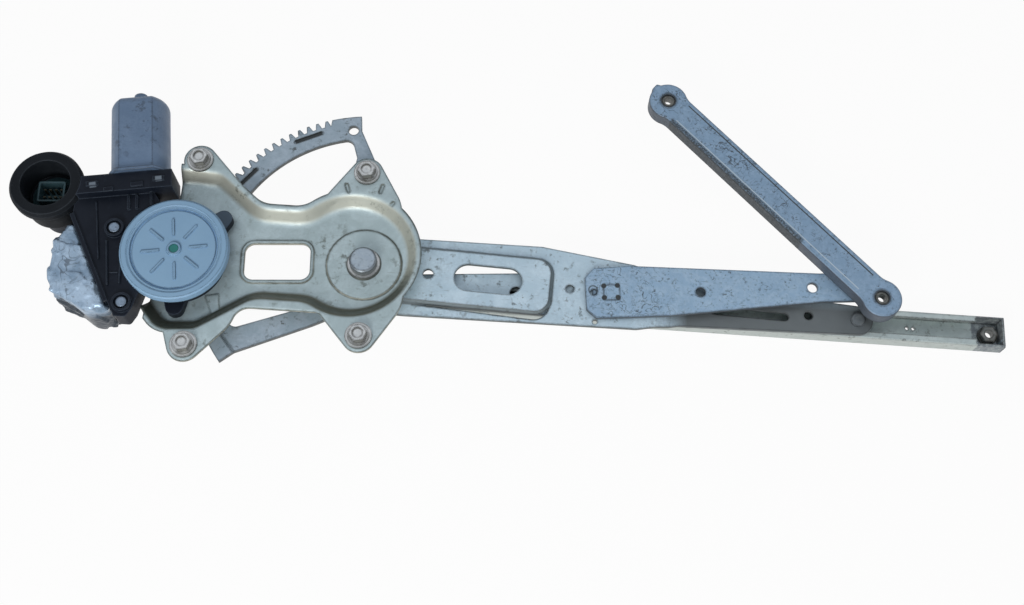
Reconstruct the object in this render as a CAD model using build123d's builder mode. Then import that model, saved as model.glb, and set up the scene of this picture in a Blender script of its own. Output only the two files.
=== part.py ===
"""X-arm power window regulator: pressed base plate, sector drive, two crossed arms, glass rail and guide.

Frame: millimetres, +Z towards the cabin side of the door, +X along the glass rail, origin on the
main pivot's axis in the plane of the front faces of the four mounting ears.
"""
from build123d import *
from math import sin, cos, tan, acos, atan, radians, degrees, pi
import os

os.makedirs("parts", exist_ok=True)

# ---------------------------------------------------------------- driving dimensions
# base plate
plate_t = 1.8              # sheet thickness
web_depth = 9.5            # how far the web's face lies behind the ear faces
wall_run = 6.5             # horizontal run of the pressed wall round the web
web_end_r = 34.4           # web's round end near the main pivot
web_end_x = -7.8
web_end_y = 3.1
waist_half = 23.7          # half width of the web's waist
waist_r = 26.0             # concave rounding of the waist
web_corner_r = 8.0
wall_foot_r = 5.0          # rounding where the wall meets the web
wall_top_r = 4.0           # rounding where the wall meets the ears
wall_extra = 0.9           # the wall is this much thicker than the sheet, measured level
rim_south = 5.0            # flat rim beside the waist
ear_a = (-110.0, 60.3)     # bolt centres of the four ears
ear_b = (-3.4, 59.0)
ear_c = (-101.6, -63.6)
ear_d = (2.8, -50.6)
ear_r = 10.4
flange_corners = [(-116.4, -53.5, 6.0), (-73.5, -37.2, 10.0), (-22.9, -37.2, 3.0), (27.2, -18.0, 8.0),
                  (-28.4, 38.4, 8.0), (-75.0, 36.2, 8.0)]
window_l = 41.0            # window in the web
window_w = 24.5
window_x = -54.2
window_y = -2.0
window_turn = 4.1
window_corner_r = 6.0
window_lip_w = 2.4
window_lip_h = 0.7
bead_plan = [(-95.8, -28.0), (-87.4, -26.0), (-84.9, -42.4), (-89.5, -40.8)]
bead_h = 0.5
darts = [(-14.7, 47.8, 112.0), (6.8, 48.7, 76.0), (13.5, 37.5, 50.0)]
dart_l = 7.0
dart_w = 2.2
dart_depth = 0.8
emboss_r = 23.6            # round emboss about the main pivot
emboss_h = 0.9
left_trim = [(-200.0, -80.0), (-129.0, -80.0), (-129.0, -45.0), (-132.0, -41.0), (-129.0, -34.0),
             (-129.0, 30.0), (-121.5, 33.0), (-121.5, 100.0), (-200.0, 100.0)]  # cut off at the left end
motor_hole_r = 14.0
motor_feet = [(-90.5, 22.5), (-112.0, -38.2), (-125.0, 21.5)]
motor_screw_r = 2.4

# fasteners
bolt_r = 3.0               # M6 shank
bolt_hole_r = 3.3
bolt_head_af = 10.0
bolt_head_h = 4.2
bolt_flange_r = 6.8
bolt_flange_h = 1.2
bolt_recess_r = 3.2
bolt_recess_h = 1.2
bolt_end = 10.6            # how far a bolt ends behind the ear face
washer_r = 8.3
washer_t = 1.6
nut_af = 10.0
nut_h = 5.0
nut_room_r = nut_af / 2 / cos(radians(30)) + 0.2
thread_r = 2.5             # bore of an empty M6 weld nut

# main pivot
pivot_r = 6.0
pivot_head_r = 8.6
pivot_head_h = 6.4
collar_r = 11.0
collar_h = 1.8
bush_r = 8.0
end_washer_r = 10.5
end_washer_t = 1.0
rivet_end_r = 7.6
rivet_end_h = 1.2
run_gap = 0.05             # radial clearance of a shaft in its hole
face_gap = 0.05            # axial clearance between faces that turn on each other
sector_gap = 1.2           # clear space between web and sector

# toothed sector and pinion
module = 2.0
sector_teeth = 106         # teeth of the full circle
pinion_teeth = 9
pressure_angle = 20.0
profile_shift = 0.5        # pinion thickened, sector thinned, in modules
pinion_tip = 1.3           # height of a pinion tooth above the pitch circle, in modules
sector_tip = 0.5           # height of a sector tooth above the pitch circle, in modules
tip_clear = 0.25           # clear space at a tooth's tip, in modules
backlash = 0.2
sector_t = 3.0
rim_inner_r = 90.5
rim_start = 97.0           # directions of the rim's two ends, degrees
rim_end = 220.0
teeth_on_sector = 30
first_tooth = -22          # places from the pinion's direction, counted clockwise
sector_hub_r = 25.0
sector_grooves = [(-45.8, 88.2, 25.8, 20.0, 2.4), (-81.3, 56.5, 52.8, 18.0, 2.4),
                  (-78.1, -57.2, -49.4, 19.0, 1.2)]
groove_depth = 0.8
rivet_r = 3.2              # rivets that join the sector to the lift arm
rivet_places = [(16.0, 0.0), (-13.5, 8.5), (-13.5, -8.5)]
rivet_head_r = 4.6
rivet_head_h = 1.8
pinion_direction = 182.5   # from the main pivot, degrees
output_shaft_r = 4.5

# crossed arms
arm_t = 2.5
arm_len = 156.3            # main pivot to centre pin, and centre pin to each roller
lift_angle = -1.8          # directions at rest, degrees
rear_angle = 1.8
front_angle = 5.6
panel_rise = 3.5           # raised panel of the lift arm
panel_run = 4.0
panel_end = 121.0
panel_half = 21.5
arm_end_r = 9.6
arm_gap = 1.0              # clear space between arms that cross
front_gap = 0.8
centre_pin_r = 8.0
centre_washer_r = 12.0
stake_square = 10.0
stake_h = 0.4
step_place = 29.2          # where the lift arm steps back to the rail's level, past the centre pin
step_run = 9.0

# channels, rollers and their pins
channel_w = 20.4
channel_t = 1.6
channel_lip = 4.5
rail_h = 11.5
rail_left = -27.0
rail_right = 406.5
rail_nut_inset = 8.2
rail_open_end = 18.0       # length of each end without lips
bracket_h = 10.0
bracket_pitch = 187.6      # between the bracket's two nuts
bracket_angle = -43.6      # direction from the upper nut to the lower one
bracket_end_r = 12.6
bracket_beak = [(-13.6, -1.6), (-14.2, 3.4), (-10.0, 5.7), (0.0, 11.8), (0.0, -11.8)]
bracket_gap = 1.2
bracket_ring_r = 5.8       # raised rings around the bracket's two nuts
bracket_ring_h = 0.3
pilot_hole_r = 4.65        # the nuts' round necks stand in these holes
pilot_r = 3.9
pilot_h = 0.9
roller_r = 7.9
roller_clear = 0.3
roller_to_nut = 15.9
pin_r = 3.5
pin_collar_r = 4.4
pin_head_r = 4.6
pin_head_h = 1.8
pin_foot_h = 1.1

# motor and gear case
motor_lean = 9.6           # lean of the motor's axis from +Y, degrees
worm_offset = 22.0         # between the worm's axis and the wheel's
worm_r = 4.0
worm_z = -1.5
worm_l = 24.0
worm_bore_r = 4.8
wheel_half = 4.0
can_r = 18.3
can_flat = 15.0            # half the can's depth across its flats
can_wall = 1.6
can_start = 53.0           # distances along the motor's axis from the wheel
can_end = 108.0
can_end_wall = 4.2
can_dome_r = 6.4
can_bearing_r = 3.6
can_step_r = 7.4
can_step_h = 1.4
can_boss_r = 4.3
can_boss_h = 7.0
armature_r = 11.5
magnet_t = 3.2
cover_r = 33.4
cover_wall = 4.2
cover_top = 9.0
cover_t = 2.4
cover_skirt = 3.4
cover_rib_count = 8
case_r = cover_r - cover_wall - 0.2
case_wall = 2.4
case_top = 6.0

# connector and control unit
boot_x = -201.8
boot_y = 33.6
boot_r = 23.0
boot_bore_r = 15.6
boot_top = 8.0
boot_floor = -14.0
unit_top = -9.5
unit_wall = 2.0
cover_film_t = 1.5

# ---------------------------------------------------------------- levels along Z
web_front = -web_depth
web_back = web_front - plate_t
sector_front = web_back - sector_gap
sector_back = sector_front - sector_t
panel_front = sector_back
panel_back = panel_front - arm_t
strip_front = panel_front - panel_rise
strip_back = strip_front - arm_t
end_front = strip_back - arm_gap
end_back = end_front - arm_t
front_back = strip_front + front_gap
front_front = front_back + arm_t
rail_front = end_back - arm_gap
rail_back = rail_front - rail_h
bracket_back = front_front + bracket_gap
bracket_front = bracket_back + bracket_h

# ---------------------------------------------------------------- places in the plan
pitch_sector = module * sector_teeth / 2
pitch_pinion = module * pinion_teeth / 2
gear_distance = pitch_sector + pitch_pinion


def polar(length, angle, start=(0, 0)):
    """Point at a length and direction from start."""
    return (start[0] + length * cos(radians(angle)), start[1] + length * sin(radians(angle)))


pinion_xy = polar(gear_distance, pinion_direction)
centre_xy = polar(arm_len, lift_angle)
lift_end_xy = polar(arm_len, lift_angle, centre_xy)
front_end_xy = polar(arm_len, front_angle, centre_xy)
rear_end_xy = polar(arm_len, rear_angle + 180, centre_xy)
lower_nut_xy = polar(roller_to_nut, bracket_angle, front_end_xy)
upper_nut_xy = polar(bracket_pitch, bracket_angle + 180, lower_nut_xy)
rail_y = lift_end_xy[1]
rail_nut_left = rail_left + rail_nut_inset
rail_nut_right = rail_right - rail_nut_inset
motor_foot = polar(worm_offset, motor_lean + 180, pinion_xy)
ears = [ear_a, ear_b, ear_c, ear_d]


def save(part, name):
    """Label a finished piece and write its STEP file."""
    part.label = name
    export_step(part, "parts/" + name + ".step")


def turned(profile, centre):
    """Solid of revolution about a vertical axis through centre; profile holds (radius, z) points."""
    flat = Plane(origin=(centre[0], centre[1], 0), x_dir=(1, 0, 0), z_dir=(0, -1, 0))
    with BuildPart() as piece:
        with BuildSketch(flat):
            Polygon(*profile, align=None)
        revolve(axis=Axis((centre[0], centre[1], 0), (0, 0, 1)))
    return piece.part


def arm_plane(start, angle, height):
    """Horizontal plane whose origin is start and whose x axis points along angle."""
    x_dir = (cos(radians(angle)), sin(radians(angle)), 0)
    return Plane(origin=(start[0], start[1], height), x_dir=x_dir, z_dir=(0, 0, 1))


# ---------------------------------------------------------------- base plate
wall_angle = degrees(atan(wall_run / web_depth))
wall_thick = plate_t / cos(radians(wall_angle)) + wall_extra
wall_step = wall_thick - plate_t * tan(radians(wall_angle))

with BuildSketch() as web_plan:
    Polygon((-112, 47.5), (-98, 46.5), (-70, waist_half), (-20, waist_half), (-20, -waist_half),
            (-66, -waist_half), (-99, -46), (-117, -47.5), (-134, -29), (-152, -29), (-152, 47.5), align=None)
    with Locations((web_end_x, web_end_y)):
        Circle(web_end_r)
    waist = web_plan.vertices().filter_by(lambda v: -75 < v.X < -25 and abs(v.Y) < waist_half + 1)
    fillet(waist, waist_r)
    corners = web_plan.vertices().filter_by(lambda v: v.X < -90)
    fillet(corners, web_corner_r)

ear_roots = [(-93.0, 30.0, 19.0), (-4.0, 31.0, 25.5), (-97.0, -38.0, 23.5), (0.0, -22.0, 27.5)]


def ear_lobe(ear, root):
    """Plan of one ear: the hull of the round about its bolt and of a larger round at its root."""
    with BuildSketch() as lobe:
        with Locations(ear):
            Circle(ear_r)
        with Locations((root[0], root[1])):
            Circle(root[2])
        make_hull()
    return lobe.sketch


lobes = [ear_lobe(ear, root) for ear, root in zip(ears, ear_roots)]
with BuildSketch() as flange_plan:
    offset(web_plan.sketch, wall_run)
    with Locations((-47, -waist_half - wall_run - rim_south / 2)):
        Rectangle(62, rim_south + 4)
    add(lobes)
    for x, y, r in flange_corners:
        corner = flange_plan.vertices().sort_by_distance((x, y, 0))[0]
        fillet(corner, r)

with BuildPart() as base_plate:
    with BuildSketch(Plane.XY.offset(-plate_t)):
        add(flange_plan.sketch)
    extrude(amount=plate_t)
    with BuildSketch(Plane.XY.offset(web_front)):
        offset(web_plan.sketch, wall_thick)
    extrude(amount=web_depth, taper=-wall_angle)
    with BuildSketch(Plane.XY.offset(web_back)):
        offset(web_plan.sketch, wall_step)
    extrude(amount=plate_t, taper=-wall_angle)
    with BuildSketch(Plane.XY.offset(web_front)):
        add(web_plan.sketch)
    extrude(amount=web_depth, taper=-wall_angle, mode=Mode.SUBTRACT)
    web_floor = base_plate.faces().filter_by(lambda f: abs(f.center().Z - web_front) < 0.01)[0]
    fillet(web_floor.outer_wire().edges(), wall_foot_r)
    rim = base_plate.faces().sort_by(Axis.Z)[-1]
    fillet(rim.inner_wires().edges(), wall_top_r)
    with BuildSketch(Plane.XY.offset(web_front)):
        Circle(emboss_r)
    extrude(amount=emboss_h, taper=30)
    with BuildSketch(Plane.XY.offset(web_back)):
        Circle(emboss_r - plate_t)
    extrude(amount=emboss_h, taper=30, mode=Mode.SUBTRACT)
    with BuildSketch(Plane.XY.offset(web_front)):
        with Locations(Location((window_x, window_y, 0), (0, 0, window_turn))):
            RectangleRounded(window_l + 2 * window_lip_w, window_w + 2 * window_lip_w,
                             window_corner_r + window_lip_w)
    extrude(amount=window_lip_h, taper=25)
    with BuildSketch(Plane.XY.offset(web_front)):
        Polygon(*bead_plan, align=None)
    extrude(amount=bead_h)
    with BuildSketch():
        for x, y, turn in darts:
            with Locations(Location((x, y, 0), (0, 0, turn))):
                SlotOverall(dart_l, dart_w)
    extrude(amount=-dart_depth, mode=Mode.SUBTRACT)
    with BuildSketch(Plane.XY.offset(web_back)):
        Circle(pivot_r)
        with Locations(Location((window_x, window_y, 0), (0, 0, window_turn))):
            RectangleRounded(window_l, window_w, window_corner_r)
        with Locations(pinion_xy):
            Circle(motor_hole_r)
        with Locations(*motor_feet):
            Circle(motor_screw_r)
    extrude(amount=web_depth, mode=Mode.SUBTRACT)
    with BuildSketch(Plane.XY.offset(-plate_t)):
        with Locations(*ears):
            Circle(bolt_hole_r)
    extrude(amount=plate_t, mode=Mode.SUBTRACT)
    with BuildSketch(Plane.XY.offset(-plate_t)):
        with Locations(*ears):
            Circle(nut_room_r)
    extrude(amount=-nut_h, mode=Mode.SUBTRACT)
    with BuildSketch(Plane.XY.offset(web_back)):
        Polygon(*left_trim, align=None)
    extrude(amount=-web_back, mode=Mode.SUBTRACT)
save(base_plate.part, "base_plate")

# ---------------------------------------------------------------- ear bolts, washers and weld nuts
with BuildPart() as ear_washers:
    with BuildSketch():
        with Locations(*ears):
            Circle(washer_r)
            Circle(bolt_hole_r, mode=Mode.SUBTRACT)
    extrude(amount=washer_t)
save(ear_washers.part, "ear_washers")

with BuildPart() as ear_bolts:
    with BuildSketch(Plane.XY.offset(-bolt_end)):
        with Locations(*ears):
            Circle(bolt_r)
    extrude(amount=bolt_end + washer_t)
    with BuildSketch(Plane.XY.offset(washer_t)):
        with Locations(*ears):
            Circle(bolt_flange_r)
    extrude(amount=bolt_flange_h)
    with BuildSketch(Plane.XY.offset(washer_t + bolt_flange_h)):
        with Locations(*ears):
            RegularPolygon(bolt_head_af / 2, 6, major_radius=False, rotation=12)
    extrude(amount=bolt_head_h)
    with BuildSketch(Plane.XY.offset(washer_t + bolt_flange_h + bolt_head_h)):
        with Locations(*ears):
            Circle(bolt_recess_r)
    extrude(amount=-bolt_recess_h, mode=Mode.SUBTRACT)
save(ear_bolts.part, "ear_bolts")

with BuildPart() as ear_nuts:
    with BuildSketch(Plane.XY.offset(-plate_t)):
        with Locations(*ears):
            RegularPolygon(nut_af / 2, 6, major_radius=False)
            Circle(bolt_r, mode=Mode.SUBTRACT)
    extrude(amount=-nut_h)
save(ear_nuts.part, "ear_weld_nuts")

# ---------------------------------------------------------------- main pivot
emboss_front = web_front + emboss_h
emboss_back = web_back + emboss_h
head_seat = emboss_front + collar_h
washer_seat = panel_back - face_gap
rivet_seat = washer_seat - end_washer_t
pivot_pin = turned([(0, rivet_seat - rivet_end_h), (rivet_end_r - 1, rivet_seat - rivet_end_h),
                    (rivet_end_r, rivet_seat), (pivot_r, rivet_seat), (pivot_r, head_seat),
                    (pivot_head_r, head_seat), (pivot_head_r, head_seat + pivot_head_h - 1),
                    (pivot_head_r - 1, head_seat + pivot_head_h), (0, head_seat + pivot_head_h)], (0, 0))
save(pivot_pin, "main_pivot_pin")

pivot_collar = turned([(pivot_r, emboss_front), (collar_r, emboss_front), (collar_r - 0.8, head_seat),
                       (pivot_r, head_seat)], (0, 0))
save(pivot_collar, "main_pivot_collar")

pivot_spacer = turned([(pivot_r, emboss_back), (pivot_r, sector_front + face_gap),
                       (collar_r + 3, sector_front + face_gap), (collar_r + 3, emboss_back)], (0, 0))
save(pivot_spacer, "main_pivot_spacer")

pivot_end_washer = turned([(pivot_r, washer_seat), (end_washer_r, washer_seat), (end_washer_r, rivet_seat),
                           (pivot_r, rivet_seat)], (0, 0))
save(pivot_end_washer, "main_pivot_end_washer")

pivot_bush = turned([(pivot_r + run_gap, sector_front), (bush_r, sector_front), (bush_r, panel_back),
                     (pivot_r + run_gap, panel_back)], (0, 0))
save(pivot_bush, "main_pivot_bush")


# ---------------------------------------------------------------- gear teeth
def involute(angle):
    """Involute function of an angle in radians."""
    return tan(angle) - angle


def half_tooth(radius, pitch_r, half_thickness):
    """Half angle of an involute tooth at a radius, in radians; the flank is radial below the base circle."""
    base_r = pitch_r * cos(radians(pressure_angle))
    flank = acos(min(1, base_r / radius))
    return half_thickness / pitch_r + involute(radians(pressure_angle)) - involute(flank)


def tooth_points(centre, direction, pitch_r, half_thickness, radii):
    """Outline of one tooth from its one root, over the tip, to its other root."""
    left = [polar(r, direction - degrees(half_tooth(r, pitch_r, half_thickness)), centre) for r in radii]
    right = [polar(r, direction + degrees(half_tooth(r, pitch_r, half_thickness)), centre) for r in radii]
    return left + right[::-1]


tooth_shift = 2 * profile_shift * tan(radians(pressure_angle))
pinion_half = module * (pi / 2 + tooth_shift) / 2 - backlash / 4
sector_half = module * (pi / 2 - tooth_shift) / 2 - backlash / 4
sector_tip_r = pitch_sector + module * sector_tip
pinion_tip_r = pitch_pinion + module * pinion_tip
sector_root_r = gear_distance - pinion_tip_r - module * tip_clear
pinion_root_r = gear_distance - sector_tip_r - module * tip_clear
pitch_angle = 360 / sector_teeth
pinion_base_r = pitch_pinion * cos(radians(pressure_angle))

# ---------------------------------------------------------------- toothed sector
tooth_radii = [sector_root_r, (sector_root_r + pitch_sector) / 2, pitch_sector, sector_tip_r]
edge = []
for place in range(teeth_on_sector):
    direction = pinion_direction + (first_tooth + place + 0.5) * pitch_angle
    edge += tooth_points((0, 0), direction, pitch_sector, sector_half, tooth_radii)
rim_first = pinion_direction + (first_tooth - 0.1) * pitch_angle
rim_last = pinion_direction + (first_tooth + teeth_on_sector + 0.1) * pitch_angle

with BuildPart() as sector_gear:
    with BuildSketch(Plane.XY.offset(sector_back)) as sector_plan:
        with BuildLine():
            Line(polar(rim_inner_r, rim_start), polar(sector_tip_r, rim_start))
            ThreePointArc(polar(sector_tip_r, rim_start), polar(sector_tip_r, (rim_start + rim_first) / 2),
                          polar(sector_tip_r, rim_first))
            Polyline(polar(sector_tip_r, rim_first), *edge, polar(sector_tip_r, rim_last))
            ThreePointArc(polar(sector_tip_r, rim_last), polar(sector_tip_r, (rim_last + rim_end) / 2),
                          polar(sector_tip_r, rim_end))
            Line(polar(sector_tip_r, rim_end), polar(rim_inner_r, rim_end))
            ThreePointArc(polar(rim_inner_r, rim_end), polar(rim_inner_r, 160), polar(rim_inner_r, rim_start))
        make_face()
        Circle(sector_hub_r)
        Polygon(polar(rim_inner_r + 6, 101.5), polar(rim_inner_r + 6, rim_start), (-1.5, 75.6), (22, 11),
                (-20, 11), (-12.8, 75.6), align=None)
        Polygon(polar(rim_inner_r + 6, rim_end), (-28, -41.2), (4, -24.5), (-22, -10), (-40, -32.2),
                polar(rim_inner_r + 6, rim_end - 9.5), align=None)
        left_side = sector_plan.vertices().filter_by(lambda v: v.X < -6 and v.Y > -60)
        inner = left_side.filter_by(lambda v: rim_inner_r - 2 < (v.X**2 + v.Y**2) ** 0.5 < rim_inner_r + 1)
        fillet(inner, 5)
        Circle(bush_r, mode=Mode.SUBTRACT)
        with Locations(*rivet_places):
            Circle(rivet_r, mode=Mode.SUBTRACT)
        with Locations((-17.2, 95.6)):
            Circle(bolt_hole_r, mode=Mode.SUBTRACT)
    extrude(amount=sector_t)
    with BuildSketch(Plane.XY.offset(sector_front)):
        for x, y, turn, length, width in sector_grooves:
            with Locations(Location((x, y, 0), (0, 0, turn))):
                SlotOverall(length, width)
    extrude(amount=-groove_depth, mode=Mode.SUBTRACT)
save(sector_gear.part, "sector_gear")

# ---------------------------------------------------------------- pinion, output shaft, worm wheel
pinion_radii = [pinion_root_r, pinion_base_r, pitch_pinion, (pitch_pinion + pinion_tip_r) / 2, pinion_tip_r]
pinion_edge = []
for place in range(pinion_teeth):
    direction = pinion_direction + 180 + place * 360 / pinion_teeth
    pinion_edge += tooth_points(pinion_xy, direction, pitch_pinion, pinion_half, pinion_radii)

with BuildPart() as pinion:
    with BuildSketch(Plane.XY.offset(sector_back - 1)):
        Polygon(*pinion_edge, align=None)
        with Locations(pinion_xy):
            Circle(output_shaft_r, mode=Mode.SUBTRACT)
    extrude(amount=sector_t + 2)
save(pinion.part, "output_pinion")

shaft_top = worm_z + wheel_half
output_shaft = turned([(0, sector_back - 1), (output_shaft_r, sector_back - 1), (output_shaft_r, shaft_top),
                       (output_shaft_r - 0.5, shaft_top + 0.4), (0, shaft_top + 0.4)], pinion_xy)
save(output_shaft, "output_shaft")

wheel_r = worm_offset - worm_r
wheel_back = worm_z - wheel_half
wheel_front = worm_z + wheel_half - 0.6
hub_r = 12.5
with BuildPart() as worm_wheel:
    with BuildSketch(Plane.XY.offset(wheel_back)):
        with Locations(pinion_xy):
            Circle(wheel_r - 0.3)
            Circle(hub_r, mode=Mode.SUBTRACT)
    extrude(amount=wheel_front - wheel_back)
save(worm_wheel.part, "worm_wheel")

with BuildPart() as wheel_damper:
    with BuildSketch(Plane.XY.offset(wheel_back)):
        with Locations(pinion_xy):
            Circle(hub_r)
            Circle(output_shaft_r + 1.6, mode=Mode.SUBTRACT)
    extrude(amount=wheel_front - wheel_back)
save(wheel_damper.part, "wheel_damper")

drive_plate = turned([(output_shaft_r, wheel_back), (output_shaft_r + 1.6, wheel_back),
                      (output_shaft_r + 1.6, wheel_front), (output_shaft_r, wheel_front)], pinion_xy)
save(drive_plate, "wheel_hub")

# ---------------------------------------------------------------- lift arm
lift_low = arm_plane((0, 0), lift_angle, end_back)
arm_end_x = 2 * arm_len
step_start = arm_len + step_place
with BuildPart() as lift_arm:
    lean = radians(lift_angle)
    side = Plane(origin=(0, 0, 0), x_dir=(cos(lean), sin(lean), 0), z_dir=(sin(lean), -cos(lean), 0))
    with BuildSketch(side):
        Polygon((-40, strip_front), (step_start, strip_front), (step_start + step_run, end_front),
                (arm_end_x + 20, end_front), (arm_end_x + 20, end_back),
                (step_start + step_run - 1, end_back), (step_start - 1, strip_back), (-40, strip_back),
                align=None)
    extrude(amount=50, both=True)
    with BuildSketch(lift_low):
        Polygon((0, -27.5), (28, -27.3), (step_start - 12, -21.5), (step_start + 14, -15.5),
                (arm_end_x, -arm_end_r), (arm_end_x, arm_end_r), (step_start + 12, 14),
                (step_start - 16, 21.5), (110, 28), (28, 25), (0, 25.5), align=None)
        Circle(26.4)
        with Locations((arm_end_x, 0)):
            Circle(arm_end_r)
    extrude(amount=panel_front - end_back, mode=Mode.INTERSECT)
    with BuildSketch(arm_plane((0, 0), lift_angle, strip_back)) as panel_plan:
        Polygon((-60, -panel_half), (panel_end, -panel_half), (panel_end, panel_half),
                (-60, panel_half), align=None)
        fillet(panel_plan.vertices().filter_by(lambda v: v.X > 50), 13)
    extrude(amount=panel_front - strip_back, taper=degrees(atan(panel_run / (panel_front - strip_back))))
    with BuildSketch(arm_plane((0, 0), lift_angle, strip_back)):
        offset(panel_plan.sketch, -1.3)
    extrude(amount=panel_back - strip_back, taper=degrees(atan(panel_run / (panel_front - strip_back))),
            mode=Mode.SUBTRACT)
    with BuildSketch(lift_low):
        Polygon((-80, -60), (-10, -60), (-10, 60), (-80, 60), align=None)
        Circle(26.4, mode=Mode.SUBTRACT)
    extrude(amount=panel_front - end_back, mode=Mode.SUBTRACT)
    with BuildSketch(Plane.XY.offset(end_back)):
        with Locations(*rivet_places):
            Circle(rivet_r)
    extrude(amount=panel_front - end_back, mode=Mode.SUBTRACT)
    with BuildSketch(lift_low):
        Circle(bush_r)
        with Locations((78, 0.8)):
            SlotOverall(43, 18)
        with Locations((40.1, 0.6)):
            Circle(bolt_hole_r)
        with Locations((arm_len - 9, -19.4)):
            Circle(1.5)
        with Locations((arm_len - 26.3, 1), (arm_end_x - 31.1, 0)):
            Circle(2.8)
        with Locations((arm_end_x - 68, -2.5)):
            SlotOverall(49, 5.4)
        with Locations((arm_len, 0)):
            Circle(centre_pin_r + run_gap)
        with Locations((arm_end_x, 0)):
            Circle(pin_r)
    extrude(amount=panel_front - end_back, mode=Mode.SUBTRACT)
save(lift_arm.part, "lift_arm")

# rivets that hold the sector to the lift arm
with BuildPart() as sector_rivets:
    with BuildSketch(Plane.XY.offset(panel_back)):
        with Locations(*rivet_places):
            Circle(rivet_r)
    extrude(amount=sector_front - panel_back)
    with BuildSketch(Plane.XY.offset(panel_back)):
        with Locations(*rivet_places):
            Circle(rivet_head_r)
    extrude(amount=-rivet_head_h, taper=30)
save(sector_rivets.part, "sector_rivets")


# ---------------------------------------------------------------- equalizer arm, two halves on the centre pin
def equalizer_half(angle, back, heel, half_width, holes):
    """One half of the equalizer arm: a tapered plate from the centre pin to its roller pin."""
    with BuildPart() as half:
        with BuildSketch(arm_plane(centre_xy, angle, back)):
            Polygon((-heel, -half_width + 6), (-heel + 6, -half_width), (36, -half_width + 0.5),
                    (arm_len - 24, -arm_end_r), (arm_len, -arm_end_r), (arm_len, arm_end_r),
                    (arm_len - 24, arm_end_r), (12, half_width + 1), (-heel + 6, half_width),
                    (-heel, half_width - 6), align=None)
            with Locations((arm_len, 0)):
                Circle(arm_end_r)
            with Locations((0, 0)):
                Rectangle(stake_square, stake_square, mode=Mode.SUBTRACT)
            with Locations((arm_len, 0)):
                Circle(pin_r, mode=Mode.SUBTRACT)
            for x, y, r in holes:
                with Locations((x, y)):
                    Circle(r, mode=Mode.SUBTRACT)
        extrude(amount=arm_t)
    return half.part


front_holes = [(-11.3, 0.5, 2.3), (56, -1.2, 3.2), (127, 0, 3.2)]
rear_holes = [(60, 0, 4), (104, 0, 4)]
equalizer_front = equalizer_half(front_angle, front_back, 16.5, 16.8, front_holes)
save(equalizer_front, "equalizer_arm_front")
equalizer_rear = equalizer_half(rear_angle + 180, end_back, 15, 15, rear_holes)
save(equalizer_rear, "equalizer_arm_rear")

with BuildPart() as centre_pin:
    with BuildSketch(arm_plane(centre_xy, lift_angle, end_front)):
        Circle(centre_pin_r)
    extrude(amount=front_back - end_front)
    with BuildSketch(arm_plane(centre_xy, front_angle, front_back)):
        Rectangle(stake_square, stake_square)
    extrude(amount=arm_t + stake_h)
    with BuildSketch(arm_plane(centre_xy, rear_angle + 180, end_front)):
        Rectangle(stake_square, stake_square)
    extrude(amount=-arm_t - stake_h)
save(centre_pin.part, "centre_pin")

with BuildPart() as centre_washers:
    with BuildSketch(arm_plane(centre_xy, 0, strip_front + face_gap)):
        Circle(centre_washer_r)
        Circle(centre_pin_r, mode=Mode.SUBTRACT)
    extrude(amount=front_back - strip_front - face_gap)
    with BuildSketch(arm_plane(centre_xy, 0, end_front)):
        Circle(centre_washer_r)
        Circle(centre_pin_r, mode=Mode.SUBTRACT)
    extrude(amount=strip_back - face_gap - end_front)
save(centre_washers.part, "centre_washers")


# ---------------------------------------------------------------- rollers and their pins
def roller_and_pin(centre, head, plate_head, plate_roller, inner, outer):
    """Roller between the levels inner and outer of a channel, and the stepped pin that holds it.

    head is the height of the pin's head over the plate's face plate_head, and plate_roller is the
    plate's other face. The levels run along +Z or -Z.
    """
    way = 1 if outer > inner else -1
    near = inner + way * roller_clear
    far = outer - way * roller_clear
    foot = far - way * 0.3
    foot_seat = foot - way * pin_foot_h
    head_top = plate_head - way * head
    pin_points = [(0, head_top), (pin_head_r, head_top), (pin_head_r, plate_head),
                  (pin_r, plate_head), (pin_r, plate_roller), (pin_collar_r, plate_roller),
                  (pin_collar_r, near - way * face_gap), (pin_r, near - way * face_gap), (pin_r, foot_seat),
                  (pin_collar_r, foot_seat), (pin_collar_r, foot), (0, foot)]
    if head == 0:
        pin_points = [(0, plate_head), *pin_points[3:]]
    bore = pin_r + run_gap
    recess = pin_collar_r + 0.3
    roller_points = [(bore, near), (roller_r - 0.6, near), (roller_r, near + way * 0.6),
                     (roller_r, far - way * 0.6), (roller_r - 0.6, far), (recess, far),
                     (recess, foot_seat - way * face_gap), (bore, foot_seat - way * face_gap)]
    return turned(roller_points, centre), turned(pin_points, centre)


lip_back = rail_front - channel_t
rail_floor = rail_back + channel_t
lift_roller, lift_pin = roller_and_pin(lift_end_xy, pin_head_h, end_front, end_back, lip_back, rail_floor)
rear_roller, rear_pin = roller_and_pin(rear_end_xy, 0, end_front, end_back, lip_back, rail_floor)
bracket_lip = bracket_back + channel_t
bracket_floor = bracket_front - channel_t
front_roller, front_pin = roller_and_pin(front_end_xy, 0, front_back, front_front, bracket_lip, bracket_floor)
save(lift_roller, "lift_arm_roller")
save(lift_pin, "lift_arm_roller_pin")
save(rear_roller, "rear_roller")
save(rear_pin, "rear_roller_pin")
save(front_roller, "front_roller")
save(front_pin, "front_roller_pin")

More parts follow.
